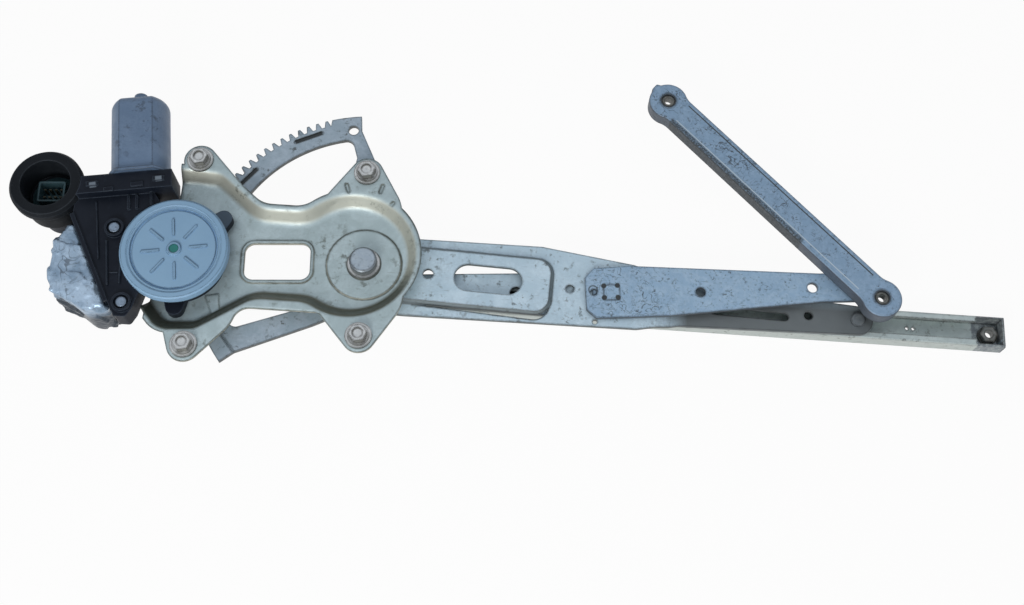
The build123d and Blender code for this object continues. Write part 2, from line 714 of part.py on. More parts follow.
# ---------------------------------------------------------------- glass rail
rail_start = Plane(origin=(rail_left, rail_y, rail_back), x_dir=(0, 1, 0), z_dir=(1, 0, 0))
inner_w = channel_w - 2 * channel_t
rail_len = rail_right - rail_left
with BuildPart() as glass_rail:
    with BuildSketch(rail_start) as rail_section:
        with Locations((0, rail_h / 2)):
            Rectangle(channel_w, rail_h)
        fillet(rail_section.vertices(), 1.4)
        with Locations((0, rail_h / 2)):
            Rectangle(inner_w, rail_h - 2 * channel_t, mode=Mode.SUBTRACT)
        with Locations((0, rail_h - channel_t / 2)):
            Rectangle(channel_w - 2 * channel_lip, channel_t + 0.1, mode=Mode.SUBTRACT)
    extrude(amount=rail_len)
    with BuildSketch(Plane.XY.offset(lip_back)):
        with Locations((rail_left + rail_open_end / 2, rail_y), (rail_right - rail_open_end / 2, rail_y)):
            Rectangle(rail_open_end, inner_w)
    extrude(amount=channel_t, mode=Mode.SUBTRACT)
    with BuildSketch(Plane.XY.offset(rail_floor)):
        with Locations((rail_right - channel_t / 2, rail_y)):
            Rectangle(channel_t, inner_w)
    extrude(amount=rail_front - rail_floor)
    with BuildSketch(Plane.XY.offset(rail_back)):
        with Locations((rail_nut_left, rail_y), (rail_nut_right, rail_y)):
            Circle(bolt_hole_r)
        with Locations((rail_right - 59, rail_y + 2), (rail_right - 55, rail_y + 2)):
            Circle(1)
    extrude(amount=channel_t, mode=Mode.SUBTRACT)
save(glass_rail.part, "glass_rail")

with BuildPart() as rail_nuts:
    with BuildSketch(Plane.XY.offset(rail_floor)):
        with Locations((rail_nut_left, rail_y), (rail_nut_right, rail_y)):
            Circle(nut_af / 2 + 1.2)
            Circle(thread_r, mode=Mode.SUBTRACT)
    extrude(amount=1.4)
    with BuildSketch(Plane.XY.offset(rail_floor + 1.4)):
        with Locations((rail_nut_left, rail_y), (rail_nut_right, rail_y)):
            RegularPolygon(nut_af / 2, 6, major_radius=False)
            Circle(thread_r, mode=Mode.SUBTRACT)
    extrude(amount=nut_h - 1.4)
save(rail_nuts.part, "rail_weld_nuts")

# ---------------------------------------------------------------- equalizer bracket
bracket_plane = arm_plane(upper_nut_xy, bracket_angle, bracket_back)
with BuildPart() as bracket:
    with BuildSketch(bracket_plane) as bracket_plan:
        with Locations((bracket_pitch / 2, 0)):
            Rectangle(bracket_pitch, channel_w)
        with Locations((0, 0), (bracket_pitch, 0)):
            Circle(bracket_end_r)
        Polygon(*bracket_beak, align=None)
        fillet(bracket_plan.vertices().filter_by(lambda v: 5 < v.X < bracket_pitch - 5), 12)
        fillet(bracket_plan.vertices().filter_by(lambda v: v.X < 5), 1.5)
    extrude(amount=bracket_h)
    fillet(bracket.faces().sort_by(Axis.Z)[-1].edges(), 1.2)
    with BuildSketch(bracket_plane.offset(channel_t)):
        offset(bracket_plan.sketch_local, -channel_t)
    extrude(amount=bracket_h - 2 * channel_t, mode=Mode.SUBTRACT)
    with BuildSketch(bracket_plane):
        with Locations((bracket_pitch / 2, 0)):
            Rectangle(bracket_pitch, channel_w - 2 * channel_lip)
        with Locations((0, 0), (bracket_pitch, 0)):
            Circle(bracket_end_r - channel_t)
    extrude(amount=channel_t, mode=Mode.SUBTRACT)
    with BuildSketch(bracket_plane.offset(bracket_h)):
        with Locations((0, 0), (bracket_pitch, 0)):
            Circle(bracket_ring_r)
    extrude(amount=bracket_ring_h)
    with BuildSketch(bracket_plane.offset(bracket_h - channel_t)):
        with Locations((0, 0), (bracket_pitch, 0)):
            Circle(pilot_hole_r)
    extrude(amount=channel_t + bracket_ring_h, mode=Mode.SUBTRACT)
save(bracket.part, "equalizer_bracket")

with BuildPart() as bracket_nuts:
    with BuildSketch(bracket_plane.offset(bracket_h - channel_t)):
        with Locations((0, 0), (bracket_pitch, 0)):
            RegularPolygon(nut_af / 2, 6, major_radius=False)
            Circle(thread_r, mode=Mode.SUBTRACT)
    extrude(amount=-nut_h)
    with BuildSketch(bracket_plane.offset(bracket_h - channel_t)):
        with Locations((0, 0), (bracket_pitch, 0)):
            Circle(pilot_r)
            Circle(thread_r, mode=Mode.SUBTRACT)
    extrude(amount=pilot_h)
save(bracket_nuts.part, "bracket_weld_nuts")


# ---------------------------------------------------------------- gear case and motor
def across(along, side):
    """Plan point at a distance along the motor's axis from the wheel, and to its side (+ is right)."""
    x, y = polar(along, motor_lean + 90, motor_foot)
    x, y = polar(side, motor_lean, (x, y))
    return (x, y)


def motor_plane(along):
    """Plane across the motor's axis; its x runs to the right and its y towards the cabin."""
    x, y = across(along, 0)
    right = (cos(radians(motor_lean)), sin(radians(motor_lean)), 0)
    down = (sin(radians(motor_lean)), -cos(radians(motor_lean)), 0)
    return Plane(origin=(x, y, worm_z), x_dir=right, z_dir=down)


groove_r = cover_r - 7.1
step_ring_r = cover_r - 5.6
skirt_r = cover_r - cover_wall
cover_back = cover_top - cover_skirt - cover_t
band_back = -13.0
band_front = 12.0
band_start = can_start - 12
band_left = 38.0
band_right = 22.0
case_floor = web_front + case_wall
screw_spots = [(-154.0, 6.9), (-141.3, -41.5)]
column_top = web_front + 14.5
case_ribs = [(35, -6), (35, -1), (36.5, 8)]
clip_sides = [-27, 14]


def foot_lobe(spot):
    """Plan of one mounting foot: the hull of the round about its screw and of a round at the wheel's axis."""
    with BuildSketch() as lobe:
        with Locations(spot):
            Circle(5.5)
        with Locations(pinion_xy):
            Circle(14)
        make_hull()
    return lobe.sketch


feet = [foot_lobe(spot) for spot in motor_feet]
with BuildPart() as gear_case:
    with BuildSketch(Plane.XY.offset(web_front)):
        with Locations(pinion_xy):
            Circle(case_r)
    extrude(amount=case_top - web_front)
    with BuildSketch(Plane.XY.offset(web_front)) as column_plan:
        Polygon((-182, 37), (-182, 16), (-150, -42), (-145, -50), (-138, -50), (-135, -44), (-130, -20),
                (-128, 26), (-141, 42), align=None)
        fillet(column_plan.vertices(), 2.5)
    extrude(amount=14.5)
    with BuildSketch(Plane.XY.offset(band_back)):
        Polygon(across(band_start, -band_left), across(can_start, -band_left),
                across(can_start, band_right), across(band_start, band_right), align=None)
    extrude(amount=band_front - band_back)
    with BuildSketch(Plane.XY.offset(web_front)):
        with Locations(*screw_spots):
            Circle(6)
    extrude(amount=17.5)
    with BuildSketch(Plane.XY.offset(column_top)):
        with Locations(Location((-166.6, -13.2, 0), (0, 0, -61.1))):
            Rectangle(64, 2.6)
        with Locations(*[across(along, side) for along, side in case_ribs]):
            Rectangle(1.6, 9, rotation=motor_lean)
    extrude(amount=1.6)
    with BuildSketch(Plane.XY.offset(band_front)):
        with Locations(*[across(can_start - 6, side) for side in clip_sides]):
            Rectangle(7, 3, rotation=motor_lean)
    extrude(amount=1)
    with BuildSketch(Plane.XY.offset(web_front)):
        add(feet)
    extrude(amount=6)
    with BuildSketch(Plane.XY.offset(8)):
        with Locations(*screw_spots):
            Circle(4.6)
    extrude(amount=-2.5, mode=Mode.SUBTRACT)
    with BuildSketch(Plane.XY.offset(case_floor)):
        with Locations(pinion_xy):
            Circle(case_r - case_wall)
    extrude(amount=case_top - case_floor, mode=Mode.SUBTRACT)
    with BuildSketch(Plane.XY.offset(web_back)):
        with Locations(pinion_xy):
            Circle(output_shaft_r + run_gap)
    extrude(amount=10, mode=Mode.SUBTRACT)
    with BuildSketch(motor_plane(can_start)):
        Circle(worm_bore_r)
    extrude(amount=can_start + 24, mode=Mode.SUBTRACT)
    with BuildSketch(Plane.XY.offset(web_front)):
        with Locations(*motor_feet):
            Circle(motor_screw_r)
    extrude(amount=5, mode=Mode.SUBTRACT)
    with BuildSketch(Plane.XY.offset(cover_back)):
        with Locations(pinion_xy):
            Circle(cover_r + 0.1)
            Circle(case_r, mode=Mode.SUBTRACT)
    extrude(amount=cover_top, mode=Mode.SUBTRACT)
    with BuildSketch(Plane.XY.offset(band_back)):
        with Locations((boot_x, boot_y)):
            Circle(boot_r + 0.2)
    extrude(amount=band_front - band_back, mode=Mode.SUBTRACT)
save(gear_case.part, "gear_case")

rib_turn = 10
with BuildPart() as gear_cover:
    add(turned([(0, cover_top - cover_t), (0, cover_top - 1.2), (groove_r - 0.7, cover_top - 1.2),
                (groove_r - 0.7, cover_top - 1.9), (groove_r + 0.7, cover_top - 1.9),
                (groove_r + 0.7, cover_top - 0.6), (step_ring_r + 0.6, cover_top - 0.6),
                (step_ring_r + 1.4, cover_top), (cover_r - 1.2, cover_top), (cover_r, cover_top - 1.2),
                (cover_r, cover_back), (skirt_r, cover_back), (skirt_r, case_top), (case_r, case_top),
                (case_r, cover_top - cover_t - 0.6), (groove_r - 1.3, cover_top - cover_t - 0.6),
                (groove_r - 1.3, cover_top - cover_t)], pinion_xy))
    with BuildSketch(Plane.XY.offset(cover_top - 1.2)):
        with Locations(pinion_xy):
            with PolarLocations(14.6, cover_rib_count, start_angle=rib_turn):
                SlotOverall(11.5, 1.5)
    extrude(amount=0.7)
    with BuildSketch(Plane.XY.offset(cover_top - 1.2)):
        with Locations(pinion_xy):
            Circle(4.6)
    extrude(amount=1.2, taper=20)
    with BuildSketch(Plane.XY.offset(cover_top - cover_t)):
        with Locations(pinion_xy):
            Circle(3)
    extrude(amount=cover_t, mode=Mode.SUBTRACT)
save(gear_cover.part, "gear_cover")

cover_plug = turned([(0, wheel_front + 1.6), (0, cover_top - 0.5), (3, cover_top - 0.5),
                     (3, cover_top - cover_t - 0.1), (2, wheel_front + 1.6)], pinion_xy)
save(cover_plug, "cover_plug")

with BuildPart() as motor_can:
    with BuildSketch(motor_plane(can_end)) as can_plan:
        Circle(can_r)
        Rectangle(2 * can_r, 2 * can_flat, mode=Mode.INTERSECT)
    extrude(amount=can_end - can_start)
    fillet(motor_can.faces().sort_by(Axis.Y)[-1].edges(), can_dome_r)
    with BuildSketch(motor_plane(can_end - can_end_wall)):
        offset(can_plan.sketch_local, -can_wall)
    extrude(amount=can_end - can_start, mode=Mode.SUBTRACT)
    with BuildSketch(motor_plane(can_start + 2)):
        offset(can_plan.sketch_local, 2.2)
        offset(can_plan.sketch_local, -can_wall, mode=Mode.SUBTRACT)
    extrude(amount=2)
    with BuildSketch(motor_plane(can_end + can_step_h)):
        Circle(can_step_r)
    extrude(amount=can_step_h + can_wall)
    fillet(motor_can.faces().sort_by(Axis.Y)[-1].edges(), 1)
    with BuildSketch(motor_plane(can_end + can_boss_h)):
        Circle(can_boss_r)
    extrude(amount=can_boss_h + can_wall)
    fillet(motor_can.faces().sort_by(Axis.Y)[-1].edges(), 1.5)
    with BuildSketch(motor_plane(can_end + can_boss_h - 1.5)):
        Circle(can_bearing_r)
    extrude(amount=can_boss_h + can_end_wall, mode=Mode.SUBTRACT)
save(motor_can.part, "motor_can")

with BuildPart() as magnets:
    with BuildSketch(motor_plane(can_end - 6)):
        Circle(can_r - can_wall)
        Circle(can_r - can_wall - magnet_t, mode=Mode.SUBTRACT)
        Rectangle(2 * can_r, 19, mode=Mode.INTERSECT)
    extrude(amount=36)
save(magnets.part, "motor_magnets")

shaft_r = 2.0
with BuildPart() as armature_shaft:
    with BuildSketch(motor_plane(can_end + 2)):
        Circle(shaft_r)
    extrude(amount=can_end + 2 + 20)
    with BuildSketch(motor_plane(worm_l / 2)):
        Circle(worm_r - 0.3)
    extrude(amount=worm_l)
save(armature_shaft.part, "armature_shaft")

with BuildPart() as armature:
    with BuildSketch(motor_plane(can_end - 8)):
        Circle(armature_r)
        with PolarLocations(armature_r - 2, 8):
            Rectangle(5, 1.6, mode=Mode.SUBTRACT)
        Circle(shaft_r, mode=Mode.SUBTRACT)
    extrude(amount=30)
save(armature.part, "armature_core")

with BuildPart() as commutator:
    with BuildSketch(motor_plane(can_end - 41)):
        Circle(5.5)
        Circle(shaft_r, mode=Mode.SUBTRACT)
    extrude(amount=8)
save(commutator.part, "commutator")

with BuildPart() as brush_plate:
    with BuildSketch(motor_plane(can_start + 3)):
        offset(can_plan.sketch_local, -can_wall - 0.1)
        Circle(6.5, mode=Mode.SUBTRACT)
    extrude(amount=3)
save(brush_plate.part, "brush_plate")

with BuildPart() as brushes:
    with BuildSketch(motor_plane(can_start + 11)):
        with Locations((-9, 0), (9, 0)):
            Rectangle(6.4, 4)
    extrude(amount=8)
save(brushes.part, "brushes")

with BuildPart() as can_bearing:
    with BuildSketch(motor_plane(can_end + 2.4)):
        Circle(can_bearing_r)
        Circle(shaft_r + run_gap, mode=Mode.SUBTRACT)
    extrude(amount=5)
save(can_bearing.part, "can_bearing")

with BuildPart() as worm_bearings:
    for along in (worm_l / 2 + 4.6, -worm_l / 2 - 0.6):
        with BuildSketch(motor_plane(along)):
            Circle(worm_bore_r)
            Circle(shaft_r + run_gap, mode=Mode.SUBTRACT)
        extrude(amount=4)
save(worm_bearings.part, "worm_bearings")

with BuildPart() as case_screws:
    with BuildSketch(Plane.XY.offset(5.5)):
        with Locations(*screw_spots):
            Circle(3.3)
    extrude(amount=2.4)
    fillet(case_screws.faces().sort_by(Axis.Z)[-2:].edges(), 0.7)
save(case_screws.part, "case_screws")

with BuildPart() as motor_screws:
    with BuildSketch(Plane.XY.offset(web_back)):
        with Locations(*motor_feet):
            Circle(motor_screw_r)
    extrude(amount=5.5)
    with BuildSketch(Plane.XY.offset(web_back)):
        with Locations(*motor_feet):
            Circle(4)
    extrude(amount=-0.7)
save(motor_screws.part, "motor_screws")

# ---------------------------------------------------------------- control unit, connector and boot
floor_z = rail_back
unit_points = [(-181.5, 9.5), (-189.9, -3), (-189.8, -22), (-187, -33), (-175.5, -36.6), (-164.6, -42.8)]
unit_lug_plan = [(-205, 22), (-178, 12), (-178, 24), (-205, 45)]
unit_lug_h = 8
with BuildPart() as unit_block:
    with BuildSketch(Plane.XY.offset(floor_z)) as unit_plan:
        Polygon(*unit_points, (-152, -40.5), (-152, 28.5), (-179, 24), align=None)
        fillet(unit_plan.vertices(), 2)
    extrude(amount=unit_top - floor_z)
    with BuildSketch(Plane.XY.offset(unit_top)) as step_plan:
        Polygon(*unit_points, (-153.5, -41), (-179, 8), align=None)
        fillet(step_plan.vertices(), 0.8)
    extrude(amount=-unit_top)
    with BuildSketch(Plane.XY.offset(floor_z)):
        with Locations((boot_x, boot_y)):
            Circle(boot_bore_r - 1)
    extrude(amount=boot_floor - floor_z)
    with BuildSketch(Plane.XY.offset(floor_z)):
        Polygon(*unit_lug_plan, align=None)
    extrude(amount=unit_lug_h)

with BuildPart() as unit_case:
    add(unit_block.part)
    with BuildSketch(Plane.XY.offset(floor_z + unit_wall)):
        offset(unit_plan.sketch, -unit_wall)
    extrude(amount=unit_top - floor_z - 2 * unit_wall, mode=Mode.SUBTRACT)
save(unit_case.part, "control_unit_case")

with BuildPart() as circuit_board:
    with BuildSketch(Plane.XY.offset(floor_z + 10)):
        offset(unit_plan.sketch, -unit_wall)
    extrude(amount=1.6)
save(circuit_board.part, "circuit_board")

with BuildPart() as silver_cover:
    with BuildSketch(Plane.XY.offset(floor_z)) as film_plan:
        Polygon((-184, 11), (-192.4, -2), (-192, -22), (-189, -35), (-176, -39), (-165, -45.5), (-156, -44.5),
                (-151.5, -43.5), align=None)
        fillet(film_plan.vertices(), 2)
    extrude(amount=cover_film_t - floor_z)
    fillet(silver_cover.faces().sort_by(Axis.Z)[-1].edges(), 1.2)
    add(unit_block.part, mode=Mode.SUBTRACT)
    with BuildSketch(Plane.XY.offset(web_front)):
        offset(column_plan.sketch, 0.2)
    extrude(amount=20, mode=Mode.SUBTRACT)
save(silver_cover.part, "silver_cover")

boot_neck_r = boot_r - 3.5
boot_seat_r = boot_bore_r - 1
boot = turned([(boot_bore_r, boot_top), (boot_r - 1.5, boot_top), (boot_r, boot_top - 2.5),
               (boot_r, boot_top - 7), (boot_neck_r, boot_top - 9), (boot_neck_r, boot_floor - 4),
               (boot_seat_r, boot_floor - 4), (boot_seat_r, boot_floor),
               (boot_bore_r, boot_floor + 1)], (boot_x, boot_y))
save(boot, "connector_boot")

with BuildPart() as socket:
    with BuildSketch(Plane.XY.offset(boot_floor)):
        with Locations(Location((boot_x + 1, boot_y - 1, 0), (0, 0, 4))):
            RectangleRounded(17, 14, 1.5)
    extrude(amount=12)
    with BuildSketch(Plane.XY.offset(boot_floor + 2)):
        with Locations(Location((boot_x + 1, boot_y - 1, 0), (0, 0, 4))):
            RectangleRounded(14.4, 11.4, 1)
    extrude(amount=10, mode=Mode.SUBTRACT)
save(socket.part, "connector_socket")

with BuildPart() as terminals:
    with BuildSketch(Plane.XY.offset(boot_floor + 2)):
        with Locations(Location((boot_x + 1, boot_y - 1, 0), (0, 0, 4))):
            with GridLocations(3.4, 5, 4, 2):
                Rectangle(1.6, 0.7)
    extrude(amount=7)
save(terminals.part, "connector_terminals")
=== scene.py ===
"""Dresses the window regulator: materials, moulded ribs, crumpled film, light and camera.

Blender works in metres; numbers multiplied by MM are millimetres. Nothing here is random: the
film's crumples and the materials' stains come from fixed noise.
"""

import math

import bmesh
import bpy
from mathutils import Matrix, Vector, noise

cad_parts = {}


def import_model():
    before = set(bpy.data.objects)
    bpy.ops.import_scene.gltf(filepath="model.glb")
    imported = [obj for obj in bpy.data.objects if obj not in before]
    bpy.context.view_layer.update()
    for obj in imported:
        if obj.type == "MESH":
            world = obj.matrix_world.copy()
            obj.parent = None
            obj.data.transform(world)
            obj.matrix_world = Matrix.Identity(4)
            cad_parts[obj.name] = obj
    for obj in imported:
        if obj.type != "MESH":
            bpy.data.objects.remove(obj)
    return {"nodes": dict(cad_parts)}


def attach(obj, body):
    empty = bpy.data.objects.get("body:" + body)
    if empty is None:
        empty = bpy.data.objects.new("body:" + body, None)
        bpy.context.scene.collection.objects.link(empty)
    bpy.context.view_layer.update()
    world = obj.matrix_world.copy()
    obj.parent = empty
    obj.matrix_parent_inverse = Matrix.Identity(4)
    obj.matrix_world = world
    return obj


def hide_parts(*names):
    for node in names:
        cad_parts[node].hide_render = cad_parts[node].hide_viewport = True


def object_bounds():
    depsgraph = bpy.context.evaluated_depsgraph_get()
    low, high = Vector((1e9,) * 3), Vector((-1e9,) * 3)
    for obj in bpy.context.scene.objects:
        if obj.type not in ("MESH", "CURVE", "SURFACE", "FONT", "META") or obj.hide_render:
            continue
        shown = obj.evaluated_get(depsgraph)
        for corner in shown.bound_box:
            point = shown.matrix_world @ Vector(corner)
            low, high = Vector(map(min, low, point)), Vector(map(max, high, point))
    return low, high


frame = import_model()
cad_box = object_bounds()
nodes = frame["nodes"]
MM = 0.001

# ---------------------------------------------------------------- camera
TILT = math.radians(21.0)      # from straight down
ROLL = math.radians(2.7)
TURN = math.radians(-1.25)     # world X is the rail's direction
FOCAL_PX = 1300.0
WIDTH_PX = 1024
SENSOR = 36.0                  # width of the sensor, in the unit that the lens has
NEAREST = 0.01                 # nothing closer to the camera than this is drawn
CAMERA_AT = Vector((0.10044, -0.30761, 0.74375))


def camera():
    """Places the camera: tilted from straight down, rolled, then turned to the rail's direction."""
    ct, st = math.cos(TILT), math.sin(TILT)
    right = Vector((1, 0, 0))
    ahead = Vector((0, st, -ct))
    down = Vector((0, -ct, -st))
    cr, sr = math.cos(ROLL), math.sin(ROLL)
    x_axis = cr * right - sr * down
    y_axis = -(sr * right + cr * down)
    ca, sa = math.cos(TURN), math.sin(TURN)
    turn = Matrix(((ca, sa, 0), (-sa, ca, 0), (0, 0, 1)))
    x_axis, y_axis, z_axis = turn @ x_axis, turn @ y_axis, turn @ -ahead
    data = bpy.data.cameras.new("camera")
    data.sensor_width = SENSOR
    data.lens = FOCAL_PX / WIDTH_PX * SENSOR
    data.clip_start = NEAREST
    obj = bpy.data.objects.new("camera", data)
    bpy.context.scene.collection.objects.link(obj)
    obj.matrix_world = Matrix(((x_axis.x, y_axis.x, z_axis.x, CAMERA_AT.x),
                               (x_axis.y, y_axis.y, z_axis.y, CAMERA_AT.y),
                               (x_axis.z, y_axis.z, z_axis.z, CAMERA_AT.z), (0, 0, 0, 1)))
    bpy.context.scene.camera = obj


camera()


# ---------------------------------------------------------------- materials
BEVEL_RAYS = 6
EDGE_TURN = (0.996, 0.96)      # cosines of the turn at which an edge starts and is full


class Nodes:
    """Short calls for building one material's node tree."""

    def __init__(self, name):
        self.mat = bpy.data.materials.new(name)
        self.mat.use_nodes = True
        self.tree = self.mat.node_tree
        self.shader = self.tree.nodes["Principled BSDF"]
        self.coord = self.tree.nodes.new("ShaderNodeTexCoord").outputs["Object"]

    def link(self, a, b):
        self.tree.links.new(a, b)

    def stretched(self, scale):
        """The place, scaled along each axis."""
        n = self.tree.nodes.new("ShaderNodeMapping")
        n.inputs["Scale"].default_value = scale
        self.link(self.coord, n.inputs["Vector"])
        return n.outputs["Vector"]

    def op(self, operation, a, b=None):
        """A math node; each operand is a socket or a number."""
        n = self.tree.nodes.new("ShaderNodeMath")
        n.operation = operation
        for socket, value in zip(n.inputs, (a, b)):
            if isinstance(value, (int, float)):
                socket.default_value = value
            elif value is not None:
                self.link(value, socket)
        return n.outputs[0]

    def vector_op(self, operation, a, b, output="Vector"):
        """A vector math node; each operand is a socket or a tuple."""
        n = self.tree.nodes.new("ShaderNodeVectorMath")
        n.operation = operation
        for socket, value in zip(n.inputs, (a, b)):
            if isinstance(value, tuple):
                socket.default_value = value
            else:
                self.link(value, socket)
        return n.outputs[output]

    def noise(self, scale, detail=6.0, rough=0.6, vector=None, distortion=0.0):
        n = self.tree.nodes.new("ShaderNodeTexNoise")
        n.inputs["Scale"].default_value = scale
        n.inputs["Detail"].default_value = detail
        n.inputs["Roughness"].default_value = rough
        n.inputs["Distortion"].default_value = distortion
        self.link(vector or self.coord, n.inputs["Vector"])
        return n.outputs["Fac"]

    def cells(self, scale):
        n = self.tree.nodes.new("ShaderNodeTexVoronoi")
        n.inputs["Scale"].default_value = scale
        self.link(self.coord, n.inputs["Vector"])
        return n.outputs["Distance"]

    def ramp(self, fac, low, high, a=0.0, b=1.0):
        """Maps the range from low to high onto a to b."""
        n = self.tree.nodes.new("ShaderNodeMapRange")
        n.inputs["From Min"].default_value = low
        n.inputs["From Max"].default_value = high
        n.inputs["To Min"].default_value = a
        n.inputs["To Max"].default_value = b
        self.link(fac, n.inputs["Value"])
        return n.outputs["Result"]

    def contours(self, scale, width):
        """Fine wandering lines, broken here and there."""
        level = self.op("SUBTRACT", self.noise(scale, 2, 0.5, distortion=0.8), 0.5)
        line = self.ramp(self.op("ABSOLUTE", level), width, width * 2.2, 1.0, 0.0)
        return self.times(line, self.ramp(self.noise(scale * 0.5, 3), 0.45, 0.58))

    def flat(self):
        """The place seen from above, in metres, with its height left out."""
        return self.vector_op("MULTIPLY", self.coord, (1, 1, 0))

    def distance(self, at):
        """Level distance from a place given in mm, in metres."""
        return self.vector_op("DISTANCE", self.flat(), (at[0] * MM, at[1] * MM, 0), "Value")

    def spot(self, at, r, soft=1.0):
        """1 inside a circle, in mm."""
        return self.ramp(self.distance(at), r * MM, (r + soft) * MM, 1.0, 0.0)

    def ring(self, at, r, half):
        """1 on a circle and 0 at half mm to either side of it."""
        return self.times(self.ramp(self.distance(at), (r - half) * MM, r * MM),
                          self.ramp(self.distance(at), r * MM, (r + half) * MM, 1.0, 0.0))

    def along(self, a, b, half, soft=0.6):
        """A band of this half width from a to b, in mm."""
        run = Vector(b) - Vector(a)
        unit = run.normalized()
        values = []
        for axis in (unit, Vector((-unit.y, unit.x))):
            less = self.vector_op("SUBTRACT", self.flat(), (a[0] * MM, a[1] * MM, 0))
            values.append(self.vector_op("DOT_PRODUCT", less, (axis.x, axis.y, 0), "Value"))
        across = self.ramp(self.op("ABSOLUTE", values[1]), half * MM, (half + soft) * MM, 1.0, 0.0)
        start = self.ramp(values[0], -soft * MM, 0.0)
        end = self.ramp(values[0], run.length * MM, (run.length + soft) * MM, 1.0, 0.0)
        return self.times(across, self.times(start, end))

    def marked(self, kind, args):
        """A mark by its kind's name: a spot, a ring or a band."""
        return {"spot": self.spot, "ring": self.ring, "along": self.along}[kind](*args)

    def height(self, low, high):
        """0 at the low height and 1 at the high one, in mm."""
        split = self.tree.nodes.new("ShaderNodeSeparateXYZ")
        self.link(self.coord, split.inputs[0])
        return self.ramp(split.outputs["Z"], low * MM, high * MM)

    def rounded(self, radius):
        """The normal that the surface would have with its edges rounded by this many mm."""
        n = self.tree.nodes.new("ShaderNodeBevel")
        n.samples = BEVEL_RAYS
        n.inputs["Radius"].default_value = radius * MM
        return n.outputs["Normal"]

    def edge(self, width):
        """1 along the edges of the shape, within about this many mm, and 0 on its open faces."""
        face = self.tree.nodes.new("ShaderNodeNewGeometry").outputs["Normal"]
        alike = self.vector_op("DOT_PRODUCT", self.rounded(width), face, "Value")
        return self.ramp(alike, *EDGE_TURN)

    def along_edges(self, width, least):
        """The edges with a patchy strength, never below this least share."""
        patchy = self.ramp(self.noise(130.0, 5, 0.7), 0.32, 0.58, least, 1.0)
        return self.times(self.edge(width), patchy)

    def times(self, a, b):
        return self.op("MULTIPLY", a, b)

    def mix(self, fac, a, b):
        """A colour between a and b, each a socket or a tuple."""
        n = self.tree.nodes.new("ShaderNodeMix")
        n.data_type = "RGBA"
        self.link(fac, n.inputs["Factor"])
        for socket, value in ((n.inputs["A"], a), (n.inputs["B"], b)):
            if isinstance(value, tuple):
                socket.default_value = (*value, 1)
            else:
                self.link(value, socket)
        return n.outputs["Result"]

    def bump(self, height, strength, distance, soft=0.0):
        """Gives the shader a grained normal, over edges that look rounded by soft mm."""
        n = self.tree.nodes.new("ShaderNodeBump")
        if soft:
            self.link(self.rounded(soft), n.inputs["Normal"])
        n.inputs["Strength"].default_value = strength
        n.inputs["Distance"].default_value = distance
        self.link(height, n.inputs["Height"])
        self.link(n.outputs["Normal"], self.shader.inputs["Normal"])

    def facing(self, axis, low, high):
        """0 to 1 as the surface turns toward an axis."""
        n = self.tree.nodes.new("ShaderNodeNewGeometry")
        split = self.tree.nodes.new("ShaderNodeSeparateXYZ")
        self.link(n.outputs["True Normal"], split.inputs[0])
        return self.ramp(split.outputs[axis], low, high)

    def facing_up(self):
        return self.facing("Z", 0.5, 0.95)


def metal(name, base, second, dark, metallic=0.6, rough=0.42, grain=260.0, stain=40.0,
          spots=0.30, wear=0.55, side=None, scratches=0.3, marks=(), soft=0.0, scribble=None,
          edge_shade=0.8, far=None):
    """Coated or plated steel: two tones, cloudy stains, dark spots and fine scratches.

    Side colours steep walls with painted light and shade, paler or darker than level faces as
    the walls catch the light, and far is painted shade on the walls that face +Y.
    Each mark is (kind, arguments, colour, strength), and one with a strength below 1 is patchy.
    Scribble is the spot that holds a tangle of fine lines. Soft is how many mm the edges look
    rounded, and the argument after scribble how much painted shade darkens the edges.
    """
    n = Nodes(name)
    cloud = n.ramp(n.noise(stain, 7, 0.62, distortion=0.6), 0.42, 0.62)
    colour = n.mix(cloud, base, second)
    fine = n.ramp(n.noise(grain, 4, 0.7), 0.35, 0.75)
    tone = tuple(0.82 * c for c in base)
    colour = n.mix(n.times(fine, n.ramp(n.noise(stain * 0.5, 3), 0.3, 0.7)), colour, tone)
    # steep walls take the side colour: painted light where it is paler than level faces, painted
    # shade where it is darker
    if side:
        colour = n.mix(n.facing_up(), side, colour)
    # painted shade: walls that face +Y, away from the key lamp, are darkened
    if far:
        colour = n.mix(n.facing("Y", 0.10, 0.45), colour, far)
    streak = n.noise(90.0, 3, 0.5, vector=n.stretched((1.0, 14.0, 14.0)))
    colour = n.mix(n.ramp(streak, 0.66, 0.74, 0.0, scratches), colour, dark)
    blot = n.times(n.ramp(n.noise(stain * 3.1, 8, 0.72), wear, wear + 0.08),
                   n.ramp(n.noise(stain * 0.7, 3), 0.42, 0.6))
    colour = n.mix(n.ramp(blot, 0.0, 1.0, 0.0, spots * 2), colour, dark)
    if scribble:
        lines = n.times(n.contours(190.0, 0.012), n.spot(*scribble))
        colour = n.mix(n.ramp(lines, 0.0, 1.0, 0.0, 0.8), colour, dark)
    broken = n.ramp(n.noise(stain * 5, 6, 0.7), 0.36, 0.56, 0.25, 1.0)
    for kind, args, tint, strength in marks:
        fac = n.marked(kind, args)
        if strength < 1:
            fac = n.times(fac, broken)
        colour = n.mix(n.ramp(fac, 0.0, 1.0, 0.0, min(strength * 1.3, 1.0)), colour, tint)
    # painted shade along the edges: they are darkened into dark outlines of patchy strength
    shaded_edges = n.ramp(n.along_edges(1.7, 0.45), 0.0, 1.0, 0.0, edge_shade)
    colour = n.mix(shaded_edges, colour, tuple(0.7 * c for c in dark))
    n.link(colour, n.shader.inputs["Base Color"])
    n.shader.inputs["Metallic"].default_value = metallic
    gloss = n.ramp(n.noise(stain * 2, 6), 0.3, 0.7, rough - 0.08, rough + 0.14)
    n.link(gloss, n.shader.inputs["Roughness"])
    n.bump(n.noise(grain * 1.6, 5, 0.65), 0.12, 0.0002, soft)
    return n.mat


